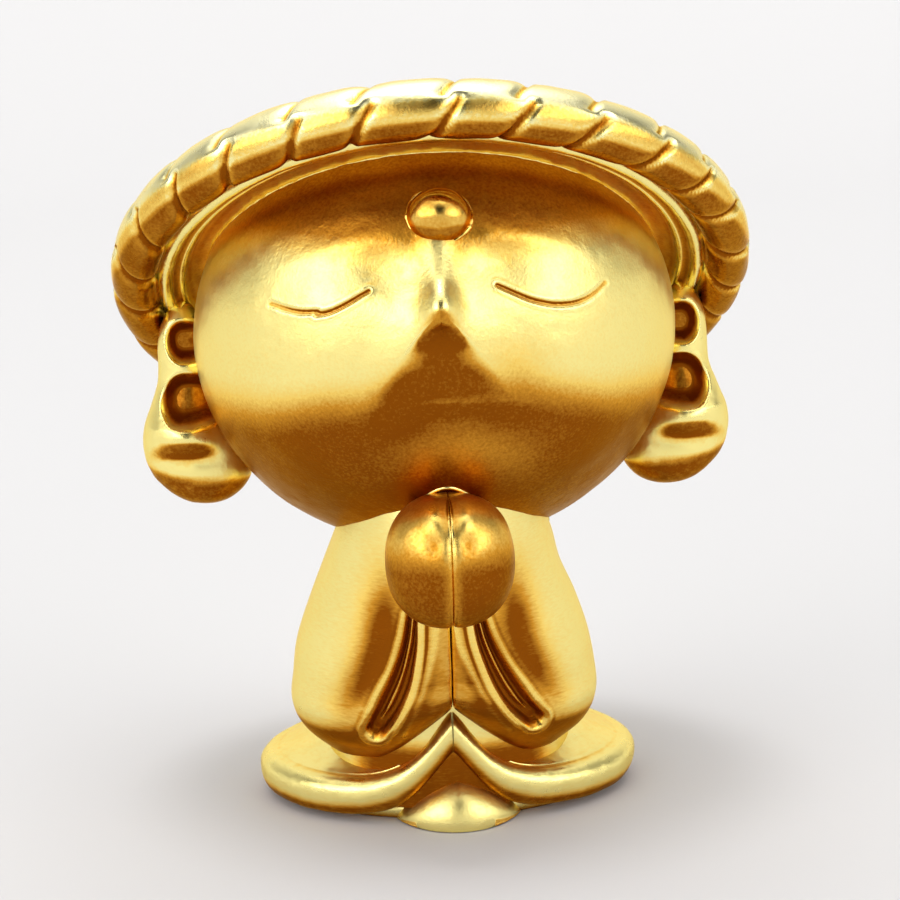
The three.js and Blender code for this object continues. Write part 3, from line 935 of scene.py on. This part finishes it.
        # Painted shade: the whole bead is drawn 0.62 of the way towards the darkest tone.
        dress(skin.build("brow_bead_cap", 0.62), self.finishes.bead_gold, "brow_bead")

    def build(self) -> None:
        """Builds the head and the bead."""
        self.shell()
        self.bead()


@dataclass
class Pod:
    """Egg-like body between two heights, with a section that changes with height."""

    top: float
    bottom: float
    full: float

    def surface(self, section: Callable[[np.ndarray], tuple], around: int, rings: int) -> np.ndarray:
        """Rows of points from bottom to top.

        Args:
            section: gives x, y, a, b and turn of the oval at each height.
            around: points round each row.
            rings: rows.

        Returns:
            The rows.
        """
        s = np.linspace(-np.pi / 2, np.pi / 2, rings)[:, None]
        level = np.sin(s)
        angle = circle(around)[None, :]
        z = (self.top + self.bottom) / 2 + level * (self.top - self.bottom) / 2
        x, y, a, b, turn = section(z)
        swell = (1.0 - np.minimum(np.abs(level), 1.0) ** self.full) ** (1.0 / self.full)
        u, v = a * swell * np.cos(angle), b * swell * np.sin(angle)
        x = x + u * np.cos(turn) - v * np.sin(turn)
        y = y + u * np.sin(turn) + v * np.cos(turn)
        return np.stack([x, y, z + 0 * angle], axis=-1)


@dataclass
class Ear:
    """Long-lobed ear beside the head: a rolled outer edge round two hollows, over a heavy lobe."""

    side: Side
    finishes: Finishes
    centre_y: float = -0.5
    top: float = 25.6
    bottom: float = 15.4
    fullness: float = 2.5
    half_depth: float = 2.1
    hollow_depth: float = 1.05
    upper_hollow: tuple[float, ...] = (12.35, 23.65, 0.80, 1.0, 0.3, 0.0)
    lower_hollow: tuple[float, ...] = (12.40, 20.8, 1.10, 1.28, 0.4, 0.12)
    edge: Line = (
        (25.6, 13.6, 11.2), (24.0, 13.8, 11.2), (22.8, 13.75, 11.1), (21.6, 13.8, 10.9), (20.5, 14.15, 10.6),
        (19.2, 14.65, 10.0), (18.0, 14.85, 9.3), (16.8, 14.85, 8.7), (15.4, 14.5, 8.7),
    )

    def section(self, z: np.ndarray) -> tuple[np.ndarray, ...]:
        """Oval of the ear at each height.

        Args:
            z: heights.

        Returns:
            Its middle's x and y, its half width and half depth, and its turn.
        """
        outer = along(z, [(height, out) for height, out, _ in self.edge])
        inner = along(z, [(height, into) for height, _, into in self.edge])
        width = (outer - inner) / 2
        depth = np.minimum(width * 0.95, self.half_depth)
        return (outer + inner) / 2, self.centre_y + 0 * z, width, depth, 0 * z

    def hollows(self, x: np.ndarray, z: np.ndarray) -> np.ndarray:
        """How deep the two hollows are on the ear's front; each runs out towards the head.

        Args:
            x: distance out.
            z: height.

        Returns:
            The depth at each point, as a share.
        """
        share = np.zeros_like(x)
        for out, height, wide, tall, stretch, lean in (self.upper_hollow, self.lower_hollow):
            off = x - out + lean * (z - height)
            far = np.hypot(np.where(off < 0, stretch, 1.0) * off / wide, (z - height) / tall)
            share = np.maximum(share, ramp(far, 1.15, 0.45))
        return share

    def build(self) -> None:
        """Builds the ear."""
        rows = Pod(self.top, self.bottom, self.fullness).surface(self.section, 260, 300)
        x, y, z = rows[..., 0].copy(), rows[..., 1].copy(), rows[..., 2]
        front = ramp(y, self.centre_y + 0.3, self.centre_y - 0.7)
        depth = self.hollows(x, z) * front
        shelf = 0.32 * hill(z, 19.0, 0.55) * hill(x, 12.3, 1.3)
        shelf -= 0.22 * hill(z, 17.9, 0.5) * hill(x, 12.3, 1.8)
        deepest = np.minimum(self.hollow_depth, 0.85 * np.maximum(self.centre_y - y, 0.0))
        rows[..., 1] = y + depth * deepest - shelf * front
        if self.side is Side.RIGHT:
            rows, depth = (rows * MIRROR)[:, ::-1], depth[:, ::-1]
        skin = Skin.from_rows(rows, poles=True).facing_out()
        skin = skin.roughened(0.05, 0.6, 71).roughened(0.012, 2.5, 72)
        # Painted shade: the ear's hollows are drawn darker the deeper they are.
        painted_shade = 0.9 * ramp(np.append(depth[1:-1].ravel(), [0.0, 0.0]), 0.1, 0.6)
        word = self.side.word
        dress(skin.build(f"ear_{word}_form", painted_shade), self.finishes.open_gold, f"ear_{word}")


# ---- robe
@dataclass
class Torso:
    """The robe's body, with its neckline and the foot that closes it."""

    finishes: Finishes
    head: HeadFrame
    head_radius: float = Head.radius
    head_pole: float = Head.pole
    hip: float = 6.2
    shoulder: float = 4.9
    depth_ratio: float = 0.86
    top: float = 16.4
    forward: float = -1.2
    collar_reach: float = 4.95
    collar_depth: float = 6.3
    collar_back: float = -2.0
    foot_depth_ratio: float = 5.9 / 8.4
    foot_line: Line = (
        (0.0, 0.0), (7.9, 0.0), (8.2, 0.05), (8.38, 0.2), (8.4, 0.45), (8.4, 0.8), (7.0, 0.85), (0.0, 0.85),
    )

    def body(self) -> None:
        """Turned oval body with soft folds down the back."""
        profile = smooth_line([
            (self.hip, 0.82), (self.hip, 3.0), (self.hip - 0.2, 6.0), (self.hip - 0.6, 9.0),
            (self.shoulder + 0.2, 12.0), (self.shoulder, 14.4), (self.shoulder - 0.5, self.top),
        ], 120)
        angle = circle(300)[None, :]
        r, z = profile[:, :1], profile[:, 1:]
        back = ramp(np.sin(angle), 0.1, 0.7)
        folds = 0.16 * np.cos(11 * angle + 0.22 * (z - 6)) + 0.10 * np.cos(5 * angle - 0.3 * z)
        r = r + back * folds * ramp(z, 13.5, 9.0)
        y = self.depth_ratio * r * np.sin(angle) + self.forward
        rows = np.stack([r * np.cos(angle), y, z + 0 * angle], axis=-1)
        skin = Skin.from_rows(rows).facing_out().roughened(0.03, 0.8, 81)
        # Painted shade on the low front of the body, in the gap under the lap.
        painted_shade = ramp(skin.points[:, 2], 4.6, 3.4) * ramp(skin.points[:, 1], -4.0, -5.5)
        dress(skin.build("robe_body", painted_shade), self.finishes.robe_gold, "torso")

    def underside(self, x: np.ndarray, y: np.ndarray) -> np.ndarray:
        """Height of the head's underside above points of the plan.

        Args:
            x: distance across.
            y: distance back.

        Returns:
            The height at each point.
        """
        c, d = math.cos(TILT), math.sin(TILT)
        back = y - self.head.centre[1]
        front, up = -back * c, back * d
        a2, q2 = self.head_radius**2, self.head_pole**2
        square = d * d / a2 + c * c / q2
        cross = front * d / a2 + up * c / q2
        rest = x**2 / a2 + front**2 / a2 + up**2 / q2 - 1.0
        return self.head.centre[2] + (-cross - np.sqrt(np.maximum(cross**2 - square * rest, 0.0))) / square

    def collar(self) -> None:
        """Rolled neckline, uneven where it was soldered to the head."""
        angle = circle(360)
        x = self.collar_reach * np.cos(angle)
        across = np.minimum(np.abs(x) / self.collar_reach, 1.0)
        arch = (0.5 * (1.0 + np.cos(np.pi * across))) ** 0.8
        bow = np.where(np.sin(angle) > 0, np.sin(angle), -arch)
        y = self.head.centre[1] + self.collar_back + self.collar_depth * bow
        path = np.stack([x, y, self.underside(x, y) + 0.04], axis=1)
        size = (0.27 + 0.06 * lattice_noise(path, 0.9, 91)) * (1.0 - 0.6 * ramp(-np.sin(angle), 0.3, 0.8))
        skin = tube(path, size, 24, closed=True).facing_out().roughened(0.05, 1.8, 92)
        dress(skin.build("neckline"), self.finishes.robe_gold, "collar", "neck_spigot")

    def foot(self) -> None:
        """Flat oval foot under the lap."""
        profile, angle = np.array(self.foot_line), circle(200)[None, :]
        r, z = profile[:, :1], profile[:, 1:]
        y = self.foot_depth_ratio * r * np.sin(angle)
        rows = np.stack([r * np.cos(angle), y, z + 0 * angle], axis=-1)
        skin = Skin.from_rows(rows, poles=True).facing_out()
        dress(skin.build("foot_plate"), self.finishes.open_gold, "base_plate")

    def build(self) -> None:
        """Builds the body, the neckline and the foot."""
        self.body()
        self.collar()
        self.foot()


@dataclass
class Palms:
    """The two palms pressed together, one half a side."""

    finishes: Finishes
    centre: Triple = (0.0, -10.8, 14.45)
    size: Triple = (2.95, 2.65, 3.10)
    half_gap: float = 0.012

    def half(self, side: Side) -> None:
        """One palm, closed flat against the other, with its knuckles.

        Args:
            side: which palm.
        """
        a = np.linspace(0.0, np.pi, 130)[:, None]
        b = np.linspace(-np.pi / 2, np.pi / 2, 130)[None, :]
        around = np.sin(a) ** 0.84
        x, y = around * np.cos(b), around * np.sin(b)
        z = -np.sign(np.cos(a)) * np.abs(np.cos(a)) ** 0.88 + 0 * b
        crease = 0.036 * np.exp(-((x / 0.055) ** 1.4)) * ramp(z, 0.60, 0.40)
        crease = crease + 0.020 * hill(x, 0.0, 0.12) * ramp(z, 0.4, 0.9)
        knuckle = 0.045 * hill(x, 0.24, 0.16) * hill(z, 0.74, 0.20)
        knuckle = knuckle - 0.035 * hill(x, 0.27, 0.15) * hill(z, 0.42, 0.17)
        grow = 1.0 + (knuckle - crease) * ramp(y, 0.1, -0.3)
        rows = np.stack([x, y, z], axis=-1) * grow[..., None] * np.array(self.size)
        rows[..., 0] = np.maximum(rows[..., 0], 0.0) + self.half_gap
        rows = rows + np.array(self.centre)
        rows = rows * MIRROR if side is Side.RIGHT else rows[:, ::-1]
        skin = Skin.from_rows(rows, poles=True).facing_out().roughened(0.03, 0.9, 101)
        level = (skin.points[:, 2] - self.centre[2]) / self.size[2]
        # Painted shade: both palms half dark all over, darker on their lower part.
        painted_shade = 0.50 + 0.48 * ramp(level, 0.45, -0.1)
        dress(skin.build(f"palm_{side.word}", painted_shade), self.finishes.open_gold, f"hand_{side.word}")

    def build(self) -> None:
        """Builds both palms."""
        for side in Side:
            self.half(side)


@dataclass
class Sleeve:
    """Hanging sleeve with a slit, raised lips and the fold inside."""

    side: Side
    finishes: Finishes
    top: float = 16.8
    bottom: float = 3.3
    full: float = 2.9
    forward: float = 4.1
    slimness: float = 2.75 / 5.2
    torso_forward: float = Torso.forward
    slit_depth: float = 0.62
    slit_width: float = 0.60
    wider: float = 0.35
    inner_edge: Line = (
        (16.8, 0.4), (14.0, -0.3), (11.0, -0.5), (8.0, -0.45), (6.6, -0.25), (5.6, 0.7), (4.5, 1.9),
        (3.8, 2.7), (3.3, 3.35),
    )
    outer_edge: Line = (
        (16.8, 4.3, 0.0), (14.3, 5.3, 0.3), (12.5, 5.75, 1.0), (10.9, 6.4, 1.0), (9.3, 6.95, 1.0),
        (7.2, 7.35, 1.0), (5.6, 7.45, 1.0), (4.8, 7.15, 1.0), (4.2, 6.65, 1.0), (3.7, 5.95, 1.0),
        (3.3, 5.3, 1.0),
    )
    left_slit: Line = ((1.30, 11.3), (1.65, 9.9), (2.35, 8.2), (3.2, 6.7), (4.05, 5.45))
    right_slit: Line = ((1.85, 11.3), (2.05, 9.9), (2.5, 8.2), (3.15, 6.7), (3.75, 5.35))

    def section(self, z: np.ndarray) -> tuple[np.ndarray, ...]:
        """Oval of the sleeve at each height, as wide as its two edges say.

        Args:
            z: heights.

        Returns:
            Its middle's x and y, its half length and half thickness, and its turn.
        """
        top, elbow, foot = self.top, self.top - 7.8, self.bottom
        more = self.wider if self.side is Side.RIGHT else 0.0
        outer = along(z, [(height, out + share * more) for height, out, share in self.outer_edge])
        inner = along(z, self.inner_edge)
        ahead = along(z, [(top, self.forward + 0.9), (elbow, self.forward), (foot, self.forward - 0.7)])
        turn = along(z, [(top, 1.15), (elbow, 0.8), (foot, 0.74)])
        slim = self.slimness * along(z, [(top, 0.95), (elbow, 1.0), (foot, 1.0)])
        level = np.minimum(np.abs(2 * z - top - foot) / (top - foot), 1.0)
        swell = np.maximum((1.0 - level**self.full) ** (1.0 / self.full), 0.30)
        reach = (outer - inner) / 2 / np.hypot(np.cos(turn), slim * np.sin(turn)) / swell
        return (outer + inner) / 2, self.torso_forward - ahead, reach, reach * slim, turn

    def relief(self, x: np.ndarray, z: np.ndarray) -> np.ndarray:
        """Height of the slit, its lips and the dents over the plain sleeve.

        Args:
            x: distance out.
            z: height.

        Returns:
            Height at each point, in millimetres.
        """
        slit = self.left_slit if self.side is Side.LEFT else self.right_slit
        near, share, hand = to_line(x, z, smooth_line(slit, 48))
        width = self.slit_width * along(share, [(0.0, 0.55), (0.3, 0.85), (0.75, 1.15), (1.0, 1.0)])
        inside = hand > 0
        outside = np.where(inside, 0.0, ramp(share, 1.0, 0.88))
        h = -self.slit_depth * ramp(near, width, width * 0.45)
        h += (0.07 + 0.05 * outside) * hill(near - width, 0.16, 0.17)
        h += 0.26 * hill(np.where(inside, near, -near), 0.05, 0.11) * ramp(share, 0.98, 0.75)
        h += 0.12 * hill(near, 1.15, 0.35) * outside
        return h - 0.45 * self.recess(x, z)

    def recess(self, x: np.ndarray, z: np.ndarray) -> np.ndarray:
        """Share of the long dent between the slit and the sleeve's outer roll."""
        axis = along(z, [(12.5, 3.0), (9.5, 3.55), (6.5, 4.9)])
        return hill(x, axis, 1.05) * hill(z, 9.6, 4.0, 2.6)

    def build(self) -> None:
        """Builds the sleeve."""
        rows = Pod(self.top, self.bottom, self.full).surface(self.section, 420, 380)
        skin = Skin.from_rows(rows, poles=True)
        p, n = skin.points, skin.normals()
        facing = ramp(-n[:, 1], 0.05, 0.45)
        h = self.relief(p[:, 0], p[:, 2]) * facing
        p = p + n * h[:, None]
        inner = 0.5 * (p[:, 0] + np.hypot(p[:, 0], 0.09))
        p[:, 0] = np.where(p[:, 0] < 1.5, inner, p[:, 0])
        skin = Skin(p, skin.quads, skin.tris)
        if self.side is Side.RIGHT:
            skin = skin.mirrored()
        skin = skin.facing_out().roughened(0.035, 0.7, 111 + self.side.value)
        x, z = skin.points[:, 0] * self.side.value, skin.points[:, 2]
        slit = along(z, [(11.3, 1.6), (9.9, 1.85), (8.2, 2.4), (6.7, 3.2), (5.4, 3.95)])
        inside = ramp(x, slit + 1.2, slit + 0.2) * hill(z, 8.0, 5.0, 4.0)
        # Painted shade in the slit, in the long dent and on the inner part of the sleeve's front.
        painted_shade = 0.25 * ramp(-h, 0.2, 0.5) + facing * (0.95 * self.recess(x, z) + 0.58 * inside)
        word = self.side.word
        obj = skin.build(f"sleeve_{word}_drape", painted_shade)
        dress(obj, self.finishes.robe_gold, f"sleeve_{word}", f"cuff_lining_{word}")


@dataclass
class Lap:
    """Seated lap: two lobes with rolled rims over a small hem."""

    finishes: Finishes
    half_width: float = 9.7
    half_depth: float = 7.2
    rim: float = 1.42
    rim_radius: float = 0.78
    crest: float = 3.45
    peak: float = 3.5
    peak_width: float = 2.1
    under: float = 0.82
    skirt: float = 0.42
    lowest: float = 0.12
    half_gap: float = 0.03
    hem_half: Triple = (3.15, 1.9, 1.75)
    hem_shift: Triple = (0.2, -5.85, 0.06)

    def section(self, bearing: float) -> np.ndarray:
        """Section of a lobe, from the body out over the rim and back below.

        Args:
            bearing: which way out, an angle from straight ahead (below 0) to straight back.

        Returns:
            The section's points.
        """
        out_x, out_y = self.half_width * math.cos(bearing), self.half_depth * math.sin(bearing)
        frontness = math.exp(-((abs(out_x) / self.peak_width) ** 1.3)) if bearing < 0 else 0.0
        lift = self.peak * frontness
        under = self.under + lift * 0.75 - self.skirt
        rim_z = self.rim + lift
        share = self.rim_radius / math.hypot(out_x, out_y)
        slope = ((0.34, 0.0, 0.4), (0.52, 0.1, 0.55), (0.66, 0.4, 0.8), (0.78, 0.85, 1.0))
        outline = [(out, self.crest - fall + lift * rise) for out, fall, rise in slope]
        outline.append((0.87, rim_z + self.rim_radius + 0.12))
        for angle in range(98, -101, -22):
            a = math.radians(angle)
            height = self.rim_radius if angle > 0 else self.rim_radius + self.skirt
            outline.append((1 - share + share * math.cos(a), rim_z + height * math.sin(a)))
        outline += [(0.84, under), (0.5, under), (0.34, under)]
        out, z = smooth_line(outline, 110).T
        return np.stack([out * out_x, out * out_y, np.maximum(z, max(under, self.lowest))], axis=1)

    def lobe(self, side: Side) -> None:
        """One lobe of the lap.

        Args:
            side: which lobe.
        """
        steps = 260
        rows = np.stack([self.section(math.pi * (i / steps - 0.5)) for i in range(steps + 1)])
        rows[..., 0] += self.half_gap
        skin = Skin.from_rows(rows)
        if side is Side.RIGHT:
            skin = skin.mirrored()
        skin = skin.facing_out().roughened(0.05, 0.55, 121 + side.value).roughened(0.012, 2.2, 123)
        dress(skin.build(f"lap_{side.word}_lobe"), self.finishes.robe_gold, f"lap_{side.word}")

    def hem(self) -> None:
        """Boat-shaped hem in the gap between the lobes."""
        x, turn = np.linspace(-1.0, 1.0, 120)[:, None], circle(90)[None, :]
        (half_long, half_deep, tall), (right, back, up) = self.hem_half, self.hem_shift
        full = np.sqrt(np.maximum(1.0 - np.abs(x) ** 2.2, 0.0))
        height = tall * np.maximum(1.0 - np.abs(x) ** 1.5, 0.0) + 0.45 * full
        y = back + 0.9 * x**2 - half_deep * full * np.cos(turn)
        z = up + height * np.maximum(np.sin(turn), 0.0) ** 0.85
        rows = np.stack([half_long * x + right + 0 * turn, y, z], axis=-1)[:, ::-1]
        skin = Skin.from_rows(rows, poles=True).facing_out().roughened(0.015, 0.9, 131)
        dress(skin.build("hem_front"), self.finishes.open_gold, "front_hem")

    def build(self) -> None:
        """Builds both lobes and the hem."""
        for side in Side:
            self.lobe(side)
        self.hem()


# ---- stage
@dataclass
class Stage:
    """Plain pale floor that curves up all round, soft light, and the camera."""

    focus: np.ndarray
    floor_tone: Triple = (0.645, 0.645, 0.655)
    floor_level: float = 420.0
    floor_reach: float = 900.0
    floor_rise: float = 190.0
    lamp_spot: Triple = (-60.0, -90.0, 1500.0)
    lamp_width: float = 330.0
    lamp_power: float = 4.4
    camera_spot: Triple = (-3.68, -99.13, 37.2)
    camera_angles: Triple = (2.5, -11.28, 2.0)
    base_glow: float = 0.20
    glows: tuple[tuple[Triple, float, float, float], ...] = (
        ((0.0, 0.0, -1.0), 60.0, 118.0, 0.45),
        ((-1.0, -0.8, 0.30), 8.0, 40.0, 3.3),
        ((1.0, -0.8, 0.30), 8.0, 38.0, 2.7),
        ((0.0, 1.0, 0.4), 25.0, 72.0, 0.75),
        ((0.0, -0.05, 1.0), 16.0, 46.0, 1.7),
    )
    dim_patch: tuple[Triple, float, float, float] = ((0.0, -0.76, 0.65), 12.0, 27.0, 0.86)

    def floor(self) -> None:
        """Pale floor, level under the figure and rising far off."""
        level, reach, around = self.floor_level, self.floor_reach, 96
        r = np.concatenate([np.linspace(1.0, level, 30), np.linspace(level + 20.0, reach, 30)])[:, None]
        z = self.floor_rise * np.clip((r - level) / (reach - level), 0.0, 1.0) ** 2
        turn = circle(around)[None, :]
        rows = np.stack([r * np.cos(turn), r * np.sin(turn), z + 0 * turn], axis=-1)
        skin = Skin.from_rows(rows).capped(np.arange(around)[::-1], np.zeros(3))
        obj = skin.facing(np.array([0.0, 0.0, 1.0])).build("floor")
        material = bpy.data.materials.new("pale_floor")
        material.use_nodes = True
        shader = material.node_tree.nodes["Principled BSDF"]
        shader.inputs["Base Color"].default_value = (*self.floor_tone, 1.0)
        shader.inputs["Roughness"].default_value = 0.75
        shader.inputs["Specular IOR Level"].default_value = 0.2
        obj.data.materials.append(material)

    def room(self) -> None:
        """Soft even room light, dimmer high in front, brighter overhead and at the two sides."""
        world = bpy.data.worlds.new("soft_room")
        bpy.context.scene.world = world
        world.use_nodes = True
        world.node_tree.nodes.clear()
        n = Nodes(world.node_tree)
        out = n.add("ShaderNodeOutputWorld")
        glow = n.add("ShaderNodeBackground")
        n.link(glow.outputs[0], out.inputs[0])
        way = n.add("ShaderNodeTexCoord").outputs["Generated"]
        parts = [n.math("MULTIPLY", n.lobe(way, *patch), power) for *patch, power in self.glows]
        *patch, power = self.dim_patch
        dim = n.math("SUBTRACT", 1.0, n.math("MULTIPLY", n.lobe(way, *patch), power))
        level = n.math("MULTIPLY", n.math("ADD", self.base_glow, *parts), dim)
        n.link(level, glow.inputs["Strength"])
        glow.inputs["Color"].default_value = (1.0, 0.985, 0.965, 1.0)

    def lamp(self) -> None:
        """A soft round lamp overhead that looks at the figure."""
        data = bpy.data.lights.new("overhead", "AREA")
        data.shape = "DISK"
        data.size = self.lamp_width * MM
        data.energy = self.lamp_power
        obj = bpy.data.objects.new("overhead", data)
        obj.location = Vector((self.focus + np.array(self.lamp_spot)) * MM)
        obj.rotation_euler = (-Vector(self.lamp_spot)).to_track_quat("-Z", "Y").to_euler()
        bpy.context.scene.collection.objects.link(obj)

    def camera(self) -> None:
        """Camera in front, a little above, with a slight roll."""
        data = bpy.data.cameras.new("camera")
        data.lens, data.sensor_width = 80.0, 36.0
        data.clip_start, data.clip_end = 0.005, 20.0
        obj = bpy.data.objects.new("camera", data)
        yaw, pitch, roll = (math.radians(angle) for angle in self.camera_angles)
        ahead = Vector((math.sin(yaw) * math.cos(pitch), math.cos(yaw) * math.cos(pitch), math.sin(pitch)))
        level = ahead.cross(Vector((0.0, 0.0, 1.0))).normalized()
        upright = level.cross(ahead)
        right = level * math.cos(roll) - upright * math.sin(roll)
        up = upright * math.cos(roll) + level * math.sin(roll)
        matrix = Matrix((right, up, -ahead)).transposed().to_4x4()
        matrix.translation = Vector(self.camera_spot) * MM
        obj.matrix_world = matrix
        bpy.context.scene.collection.objects.link(obj)
        bpy.context.scene.camera = obj

    def build(self) -> None:
        """Sets up floor, light and camera."""
        self.floor()
        self.room()
        self.lamp()
        self.camera()


def main() -> None:
    """Builds the figurine piece by piece, then the stage."""
    logging.basicConfig(level=logging.INFO, format="%(message)s")
    bpy.context.scene.view_settings.view_transform = "Standard"
    ring = HeadFrame(middle("hat_rim_cord"))
    head = ring.shifted(ahead=-0.73, above=-2.67)
    finishes = Finishes.make()
    Hat(ring, finishes).build()
    Head(head, finishes).build()
    for side in Side:
        Ear(side, finishes).build()
    Torso(finishes, head).build()
    Palms(finishes).build()
    for side in Side:
        Sleeve(side, finishes).build()
    Lap(finishes).build()
    focus = middle("torso") + np.array([0.0, 0.0, 8.0])
    Stage(focus).build()


if __name__ == "__main__":
    main()
